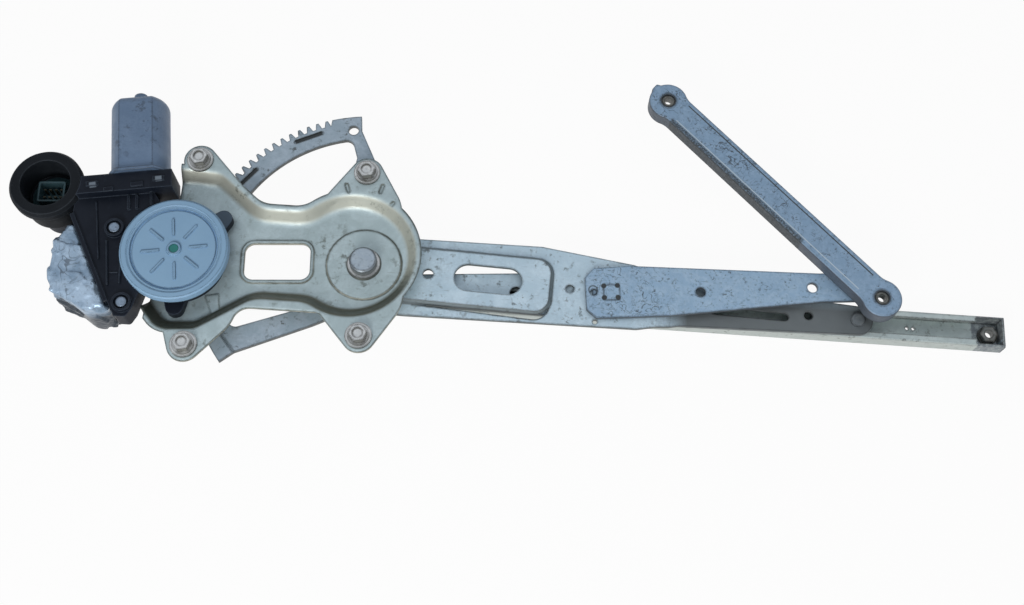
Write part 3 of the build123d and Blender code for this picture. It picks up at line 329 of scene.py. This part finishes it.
def plastic(name, base, second, rough=0.5, dust=None, soft=0.5, deep=None, shine=0.5, marks=(),
            edge_highlight=None):
    """Moulded plastic or rubber with a little dust.

    Deep is (height in mm, colour) for level faces below that height, and the last argument the
    colour of a painted highlight along the edges; without it the edges get painted shade instead.
    Marks are as for metal, on level faces only, and soft is too.
    """
    n = Nodes(name)
    colour = n.mix(n.ramp(n.noise(35.0, 6, 0.6), 0.4, 0.62), base, second)
    if dust:
        colour = n.mix(n.ramp(n.noise(120.0, 7, 0.7), 0.55, 0.72, 0.0, 0.55), colour, dust)
    if deep:
        below = n.height(deep[0] + 0.5, deep[0] - 0.5)
        colour = n.mix(n.times(below, n.facing_up()), colour, deep[1])
    for kind, args, tint, strength in marks:
        fac = n.times(n.marked(kind, args), n.facing_up())
        colour = n.mix(n.ramp(fac, 0.0, 1.0, 0.0, strength), colour, tint)
    # painted highlight along the edges where an edge colour is given, painted shade along them
    # where none is
    edge_light_and_shade = n.ramp(n.along_edges(1.1, 0.3), 0.0, 1.0, 0.0, 0.7)
    colour = n.mix(edge_light_and_shade, colour, edge_highlight or tuple(0.3 * c for c in base))
    n.link(colour, n.shader.inputs["Base Color"])
    n.shader.inputs["Specular IOR Level"].default_value = shine
    gloss = n.ramp(n.noise(70.0, 5), 0.3, 0.7, rough - 0.07, rough + 0.1)
    n.link(gloss, n.shader.inputs["Roughness"])
    n.bump(n.noise(900.0, 4, 0.6), 0.15, 0.00015, soft)
    return n.mat


# colours that several materials share
# dark colour for painted shade in grooves, holes, stake marks and around nuts, and for real wear
# along the bracket's margin
SHADE_AND_WEAR = (0.035, 0.042, 0.045)
# painted highlight on lips and edges
PAINTED_HIGHLIGHT = (0.52, 0.62, 0.70)
BLACK, BLACK_CLOUD = (0.006, 0.009, 0.016), (0.012, 0.016, 0.025)
# dust on black mouldings, and the painted highlight along their edges
BLACK_DUST, BLACK_EDGE_HIGHLIGHT = (0.020, 0.027, 0.040), (0.055, 0.072, 0.10)

# places in mm, seen from above
UPPER_NUT = Vector((187.4, 128.8))     # nuts of the equalizer's bracket
LOWER_NUT = Vector((323.3, -0.6))
CENTRE = Vector((155.6, -4.4))         # pin that joins the two equalizer halves
ARM_LINE = Vector((math.cos(math.radians(5.3)), math.sin(math.radians(5.3))))
SCREW_SEAT = (-90.5, 22.5)             # mounting foot to the right of the cover, paler on top


def beside(side, start, end):
    """A line along the bracket, side mm from its middle, with start and end mm free at its nuts."""
    run = (LOWER_NUT - UPPER_NUT).normalized()
    off = Vector((-run.y, run.x)) * side
    return tuple(UPPER_NUT + run * start + off), tuple(LOWER_NUT - run * end + off)


def stake(a, b):
    """The place a mm along the equalizer and b mm across it from its centre pin."""
    return tuple(CENTRE + ARM_LINE * a + Vector((-ARM_LINE.y, ARM_LINE.x)) * b)


# in the metals, side paints steep walls paler or darker than level faces as painted light and
# painted shade
MATS = {
    "plate": metal(
        "zinc_plate", (0.40, 0.50, 0.53), (0.49, 0.60, 0.64), (0.09, 0.10, 0.08), 0.40, 0.42,
        # paler walls as painted light; walls facing +Y darker as painted shade
        grain=420, stain=55, spots=0.35, side=(0.52, 0.52, 0.44), far=(0.11, 0.12, 0.095),
        soft=3.0, edge_shade=0.9,
        # the outer ring is painted shade in the fold of the embossed ring
        marks=[("ring", ((0, 0), 23.9, 0.7), (0.14, 0.16, 0.15), 0.8),
               ("ring", ((0, 0), 9.6, 2.0), (0.12, 0.13, 0.11), 0.75)]),
    "arm": metal(
        "arm_coat", (0.50, 0.65, 0.76), (0.61, 0.76, 0.87), (0.07, 0.08, 0.08), 0.35, 0.45,
        grain=520, stain=70, spots=0.40, side=(0.13, 0.15, 0.15), soft=0.8,
        # painted shade in a ring at the arm's front end
        marks=[("ring", ((311.7, -10.8), 5.2, 0.8), SHADE_AND_WEAR, 1),
               # painted shadow that the equalizer casts over the arm's end
               ("along", ((205, -17), (330, -15), 11, 14), (0.14, 0.16, 0.17), 1),
               # painted highlight along the slot's lip
               ("along", ((220.3, -10.0), (266.4, -10.1), 0.5, 0.5), PAINTED_HIGHLIGHT, 1)]),
    "sector": metal(
        "sector_coat", (0.33, 0.42, 0.50), (0.42, 0.51, 0.60), (0.07, 0.08, 0.08), 0.35, 0.45,
        grain=520, stain=80, spots=0.45, side=(0.12, 0.13, 0.13),
        # painted shade in the sector's grooves
        marks=[("along", ((-53.8, 84.3), (-37.7, 92.1), 1.2, 0.5), SHADE_AND_WEAR, 1),
               ("along", ((-86.2, 50), (-76.4, 62.9), 1.1, 0.5), SHADE_AND_WEAR, 1)]),
    "equalizer": metal(
        "equalizer_coat", (0.33, 0.49, 0.67), (0.41, 0.57, 0.74), (0.05, 0.06, 0.07), 0.25, 0.5,
        grain=620, stain=170, spots=0.4, wear=0.54, side=(0.12, 0.14, 0.16), scratches=0.6,
        scribble=((168, -3), 14, 22),
        # painted shade in the four stake marks and around the small hole
        marks=[("spot", (stake(a, b), 1.5, 0.4), SHADE_AND_WEAR, 1) for a in (-4.3, 4.3) for b in (-4, 4)]
        + [("ring", ((144.4, -3.9), 2.7, 0.7), SHADE_AND_WEAR, 1)]),
    "bracket": metal(
        "bracket_coat", (0.25, 0.38, 0.54), (0.31, 0.45, 0.62), (0.04, 0.05, 0.06), 0.25, 0.45,
        grain=620, stain=180, spots=0.45, side=(0.10, 0.12, 0.15), soft=0.6,
        scribble=((215, 90), 60, 60),
        # painted shade along the bracket's right edge
        marks=[("along", (*beside(7.0, 12, 14), 0.25, 0.3), SHADE_AND_WEAR, 1),
               # painted highlight along the bracket's left edge
               ("along", (*beside(-6.6, 14, 14), 0.2, 0.25), PAINTED_HIGHLIGHT, 1),
               # real wear, patchy, along the bracket's left margin
               ("along", (*beside(-9.0, 12, 60), 1.2, 1.2), SHADE_AND_WEAR, 0.75),
               # painted shade around the bracket's two nuts
               ("ring", (tuple(UPPER_NUT), 5.0, 0.7), SHADE_AND_WEAR, 1),
               ("ring", (tuple(LOWER_NUT), 5.0, 0.7), SHADE_AND_WEAR, 1)]),
    "rail": metal(
        "rail_coat", (0.46, 0.54, 0.55), (0.54, 0.62, 0.62), (0.06, 0.06, 0.055), 0.35, 0.45,
        grain=520, stain=80, spots=0.35, side=(0.52, 0.57, 0.55),
        marks=[("along", ((389.2, -9.8), (408, -9.8), 12, 0.8), (0.18, 0.205, 0.23), 0.8),
               # painted highlights on two slivers at the rail's end
               ("along", ((391.6, -14.8), (394.6, -16.8), 0.7), PAINTED_HIGHLIGHT, 1),
               ("along", ((402.4, -17.0), (404.8, -14.6), 0.7), PAINTED_HIGHLIGHT, 1)]),
    "bolt": metal(
        "bolt_zinc", (0.52, 0.54, 0.55), (0.64, 0.66, 0.66), (0.10, 0.09, 0.08), 0.8, 0.32,
        stain=160, spots=0.2, side=(0.20, 0.20, 0.18)),
    "steel": metal(
        "bare_steel", (0.36, 0.37, 0.38), (0.46, 0.47, 0.47), (0.06, 0.05, 0.04), 0.9, 0.36,
        stain=160, spots=0.25),
    "dark_steel": metal(
        "greasy_steel", (0.12, 0.13, 0.13), (0.22, 0.22, 0.21), (0.03, 0.03, 0.02), 0.6, 0.4,
        stain=120),
    "motor": metal(
        "motor_paint", (0.128, 0.200, 0.315), (0.165, 0.245, 0.370), (0.035, 0.045, 0.06),
        0.25, 0.42, grain=700, spots=0.30, scratches=0.35, soft=1.0, edge_shade=0.85),
    "bronze": metal(
        "bronze", (0.55, 0.33, 0.14), (0.62, 0.40, 0.20), (0.15, 0.08, 0.03), 0.9, 0.4, stain=150),
    "head": metal(
        "pivot_head", (0.33, 0.40, 0.47), (0.41, 0.48, 0.54), (0.06, 0.06, 0.06), 0.6, 0.38,
        stain=180, spots=0.3, side=(0.14, 0.15, 0.15), soft=0.5),
    "pin": metal(
        "roller_pin_steel", (0.20, 0.23, 0.25), (0.28, 0.31, 0.33), (0.04, 0.04, 0.04), 0.7, 0.4,
        stain=200, spots=0.3, soft=0.4),
    "contact": metal(
        "contact_brass", (0.05, 0.05, 0.035), (0.08, 0.075, 0.05), (0.02, 0.02, 0.015), 0.8, 0.45),
    "screw": metal(
        "case_screw", (0.21, 0.28, 0.37), (0.27, 0.34, 0.44), (0.05, 0.06, 0.08), 0.6, 0.4,
        stain=200, spots=0.4),
    "cover": plastic(
        "cover_plastic", (0.285, 0.475, 0.69), (0.31, 0.51, 0.73), 0.50, shine=0.3),
    "socket": plastic(
        "socket_plastic", (0.030, 0.070, 0.085), (0.045, 0.095, 0.115), 0.45, shine=0.3),
    "plug": plastic("plug_plastic", (0.01, 0.17, 0.16), (0.02, 0.22, 0.20), 0.4),
    "black": plastic(
        "case_plastic", BLACK, BLACK_CLOUD, 0.45, dust=BLACK_DUST, shine=0.12, edge_highlight=BLACK_EDGE_HIGHLIGHT,
        marks=[("spot", (SCREW_SEAT, 7.0, 1.0), (0.17, 0.23, 0.30), 0.9),
               ("along", ((-172.1, 31.9), (-168.8, 32.7), 1.3), (0.22, 0.27, 0.33), 0.9),
               ("along", ((-132.2, 39.3), (-128.9, 40.0), 1.3), (0.22, 0.27, 0.33), 0.9)]),
    "unit": plastic(
        "unit_plastic", BLACK, BLACK_CLOUD, 0.45, dust=BLACK_DUST, shine=0.12, edge_highlight=BLACK_EDGE_HIGHLIGHT,
        deep=(-13.4, (0.035, 0.080, 0.095))),
    # the boot's edges get a painted highlight
    "rubber": plastic(
        "boot_rubber", (0.006, 0.008, 0.011), (0.012, 0.015, 0.019), 0.6,
        dust=(0.028, 0.033, 0.041), soft=1.0, shine=0.12, edge_highlight=(0.055, 0.065, 0.08)),
    "roller": plastic("roller_plastic", (0.10, 0.115, 0.12), (0.14, 0.155, 0.16), 0.45),
    "board": plastic("board_laminate", (0.01, 0.10, 0.05), (0.02, 0.13, 0.06), 0.4),
}

# the CAD nodes that each material dresses; any node left out is bare steel
LOOK = {
    "plate": ["base_plate"],
    "bolt": ["ear_washers", "ear_bolts", "ear_weld_nuts", "main_pivot_collar"],
    "screw": ["motor_screws", "case_screws"],
    "head": ["main_pivot_pin"],
    "pin": ["lift_arm_roller_pin", "rear_roller_pin", "front_roller_pin"],
    "socket": ["connector_socket"],
    "unit": ["control_unit_case"],
    "contact": ["connector_terminals"],
    "arm": ["lift_arm", "equalizer_arm_rear"],
    "sector": ["sector_gear"],
    "equalizer": ["equalizer_arm_front", "centre_pin", "centre_washers"],
    "bracket": ["equalizer_bracket"],
    "rail": ["glass_rail"],
    "dark_steel": ["rail_weld_nuts", "bracket_weld_nuts"],
    "motor": ["motor_can"],
    "bronze": ["main_pivot_bush", "commutator", "can_bearing", "worm_bearings"],
    "cover": ["gear_cover", "worm_wheel"],
    "plug": ["cover_plug"],
    "black": ["gear_case", "brush_plate", "brushes"],
    "rubber": ["connector_boot", "wheel_damper"],
    "roller": ["lift_arm_roller", "rear_roller", "front_roller"],
    "board": ["circuit_board"],
}
look_of = {node: key for key, members in LOOK.items() for node in members}
for node_name, obj in nodes.items():
    material = MATS[look_of.get(node_name, "steel")]
    if not obj.data.materials:
        obj.data.materials.append(material)
    for place in range(len(obj.material_slots)):
        obj.material_slots[place].material = material


# ---------------------------------------------------------------- mesh helpers
def made(name, bm, material, body, smooth=True):
    """Turns a bmesh into a piece of this name, riding a body, with its material's slot."""
    mesh = bpy.data.meshes.new(name)
    bm.to_mesh(mesh)
    bm.free()
    obj = bpy.data.objects.new(name, mesh)
    bpy.context.scene.collection.objects.link(obj)
    mesh.materials.append(material)
    for poly in mesh.polygons:
        poly.use_smooth = smooth
    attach(obj, body)
    return obj


def applied(obj, kind, **settings):
    """Adds a modifier and applies it at once."""
    mod = obj.modifiers.new(kind.lower(), kind)
    for key, value in settings.items():
        setattr(mod, key, value)
    graph = bpy.context.evaluated_depsgraph_get()
    mesh = bpy.data.meshes.new_from_object(obj.evaluated_get(graph))
    obj.modifiers.remove(mod)
    obj.data = mesh


# ---------------------------------------------------------------- ribs moulded on the gear case
CASE_FRONT, BAND_FRONT = 5.0, 12.0     # heights of the case's face and of the band above it
BAR_SUNK, BAR_BEVEL = 0.3, 0.25        # how far a bar is sunk in its face, and its bevel
# each bar's two ends, half width, height that it stands on and own height
CASE_BARS = [((-168.5, 24.0), (-160.5, -14.0), 0.5, CASE_FRONT, 1.3),
             ((-157.6, -1.5), (-152.2, -30.5), 0.6, CASE_FRONT, 1.4),
             ((-148.7, 2.0), (-145.0, -29.0), 0.6, CASE_FRONT, 1.4),
             ((-152.2, -22.5), (-147.0, -22.0), 0.4, CASE_FRONT, 1.0),
             ((-163.0, 31.0), (-149.0, 32.8), 0.9, CASE_FRONT, 2.0),
             ((-162.9, 29.5), (-157.5, 30.6), 1.6, BAND_FRONT, 1.0),
             ((-146.9, 34.1), (-139.7, 35.7), 1.6, BAND_FRONT, 1.0)]


def case_bars():
    """Low bevelled bars beside the cover."""
    bm = bmesh.new()
    for a, b, half, foot, tall in CASE_BARS:
        a, b = Vector(a), Vector(b)
        along = (b - a).normalized() * half
        off = Vector((-along.y, along.x))
        past = along * 0.2
        ring = [a - off - past, b - off + past, b + off + past, a + off - past]
        low = [bm.verts.new((p.x * MM, p.y * MM, (foot - BAR_SUNK) * MM)) for p in ring]
        high = [bm.verts.new((p.x * MM, p.y * MM, (foot + tall) * MM)) for p in ring]
        bm.faces.new(low[::-1])
        bm.faces.new(high)
        for k in range(4):
            bm.faces.new((low[k], low[(k + 1) % 4], high[(k + 1) % 4], high[k]))
    bmesh.ops.bevel(bm, geom=bm.edges[:], offset=BAR_BEVEL * MM, segments=2, affect="EDGES")
    made("case_bars", bm, MATS["black"], "base", smooth=False)


case_bars()

# ---------------------------------------------------------------- crumpled silver film
FILM_OUTLINE = [(-181.0, 9.5), (-184.6, 9.9), (-191.4, -2.2), (-191.2, -22), (-188.3, -34.0),
                (-182.6, -35.6), (-175.6, -38.4), (-165, -44.6), (-156, -43.7), (-153.0, -42.2)]
FILM_BACK, FILM_FRONT = -35.5, 0.9
FILM_GRID = 1.0                                # size of the film's mesh, mm
FILM_SHIFT, FILM_LEAST, FILM_MOST = 0.7, 0.1, 1.5      # how far its surface moves out, mm
FILM_CELLS = ((55.0, 0.24), (130.0, 0.16))     # creases per metre and how steep their facets are


def film_material():
    """Foil with a cloudy tone, faint dark crease lines of painted shade, and painted shade
    darkening its lower part.
    """
    n = Nodes("silver_film")
    cloud = n.ramp(n.noise(70.0, 6), 0.38, 0.62)
    colour = n.mix(cloud, (0.22, 0.32, 0.44), (0.42, 0.55, 0.70))
    # painted shade: fine dark lines standing for the shade in the foil's creases
    creases = n.ramp(n.contours(75.0, 0.010), 0.0, 1.0, 0.0, 0.7)
    colour = n.mix(creases, colour, (0.07, 0.09, 0.12))
    specks = n.ramp(n.noise(300.0, 7, 0.75), 0.56, 0.66, 0.0, 0.55)
    colour = n.mix(specks, colour, (0.10, 0.12, 0.14))
    # painted shade, darkening the film towards its bottom
    colour = n.mix(n.height(-5.0, -16.0), colour, (0.045, 0.058, 0.075))
    n.link(colour, n.shader.inputs["Base Color"])
    n.shader.inputs["Metallic"].default_value = 0.45
    n.link(n.ramp(n.noise(90.0, 4), 0.3, 0.7, 0.26, 0.44), n.shader.inputs["Roughness"])
    n.bump(n.cells(380.0), 0.30, 0.0010)
    return n.mat


def film():
    """The film in place of the silver cover: a prism, remeshed and moved out in flat facets."""
    bm = bmesh.new()
    low = [bm.verts.new((x * MM, y * MM, FILM_BACK * MM)) for x, y in FILM_OUTLINE]
    high = [bm.verts.new((x * MM, y * MM, FILM_FRONT * MM)) for x, y in FILM_OUTLINE]
    bm.faces.new(low)
    bm.faces.new(high[::-1])
    for k in range(len(low)):
        nxt = (k + 1) % len(low)
        bm.faces.new((low[k], high[k], high[nxt], low[nxt]))
    bmesh.ops.recalc_face_normals(bm, faces=bm.faces)
    obj = made("silver_film", bm, film_material(), "base")
    applied(obj, "REMESH", mode="VOXEL", voxel_size=FILM_GRID * MM)
    applied(obj, "SMOOTH", factor=0.5, iterations=5)
    mesh = obj.data
    shifts = []
    for v in mesh.vertices:
        away = FILM_SHIFT * MM
        for scale, slope in FILM_CELLS:
            near = noise.voronoi(v.co * scale)[1][0]
            tilt = noise.cell_vector(near * 3.7) * slope
            away += (v.co - near / scale).dot(tilt)
        shifts.append(v.normal * min(max(away, FILM_LEAST * MM), FILM_MOST * MM))
    for v, shift in zip(mesh.vertices, shifts):
        v.co += shift
    applied(obj, "SMOOTH", factor=0.5, iterations=1)
    for poly in obj.data.polygons:
        poly.use_smooth = True
    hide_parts("silver_cover")


film()

# ---------------------------------------------------------------- floor and light
FLOOR_Z = cad_box[0].z
FLOOR_HALF = 6.0
FLOOR_GLOW = 0.95              # share of the floor that shows as plain white to the camera


def seen(tree):
    """1 for rays from the camera and for reflected ones, 0 for the light on the object."""
    path = tree.nodes.new("ShaderNodeLightPath")
    total = path.outputs["Is Camera Ray"]
    for kind in ("Is Glossy Ray", "Is Transmission Ray"):
        top = tree.nodes.new("ShaderNodeMath")
        top.operation = "MAXIMUM"
        tree.links.new(total, top.inputs[0])
        tree.links.new(path.outputs[kind], top.inputs[1])
        total = top.outputs[0]
    return total


def floor():
    """A floor that shows as almost plain white, and lights the part only by what it reflects."""
    bm = bmesh.new()
    bmesh.ops.create_grid(bm, x_segments=1, y_segments=1, size=FLOOR_HALF)
    mesh = bpy.data.meshes.new("floor")
    bm.to_mesh(mesh)
    bm.free()
    obj = bpy.data.objects.new("floor", mesh)
    obj.location.z = FLOOR_Z
    bpy.context.scene.collection.objects.link(obj)
    n = Nodes("floor_white")
    n.shader.inputs["Base Color"].default_value = (0.86, 0.86, 0.86, 1)
    n.shader.inputs["Roughness"].default_value = 0.9
    light = n.tree.nodes.new("ShaderNodeEmission")
    light.inputs["Strength"].default_value = 1.0
    mix = n.tree.nodes.new("ShaderNodeMixShader")
    n.link(n.op("MULTIPLY", seen(n.tree), FLOOR_GLOW), mix.inputs[0])
    n.link(n.shader.outputs[0], mix.inputs[1])
    n.link(light.outputs[0], mix.inputs[2])
    n.link(mix.outputs[0], n.tree.nodes["Material Output"].inputs["Surface"])
    mesh.materials.append(n.mat)


def lamp(name, at, aim, size, watts, colour=(1, 1, 1)):
    """A square lamp at a place, turned to another."""
    data = bpy.data.lights.new(name, "AREA")
    data.size = size
    data.energy = watts
    data.color = colour
    obj = bpy.data.objects.new(name, data)
    obj.location = at
    obj.rotation_euler = (Vector(aim) - Vector(at)).to_track_quat("-Z", "Y").to_euler()
    bpy.context.scene.collection.objects.link(obj)


def world():
    """A white surrounding: full for what the camera sees, and a quarter of it as light."""
    w = bpy.data.worlds.new("studio")
    bpy.context.scene.world = w
    w.use_nodes = True
    tree = w.node_tree
    back = tree.nodes["Background"]
    back.inputs["Color"].default_value = (0.93, 0.96, 1.0, 1)
    share = tree.nodes.new("ShaderNodeMapRange")
    share.inputs["To Min"].default_value = 0.26
    share.inputs["To Max"].default_value = 1.0
    tree.links.new(seen(tree), share.inputs["Value"])
    tree.links.new(share.outputs["Result"], back.inputs["Strength"])


floor()
world()
lamp("key", (-0.25, -1.1, 0.80), (0.05, 0, 0), 0.6, 10.5, (1.0, 0.985, 0.96))
lamp("fill", (0.7, -0.4, 1.3), (0.1, 0, 0), 1.2, 1.5)

bpy.context.scene.view_settings.view_transform = "Standard"
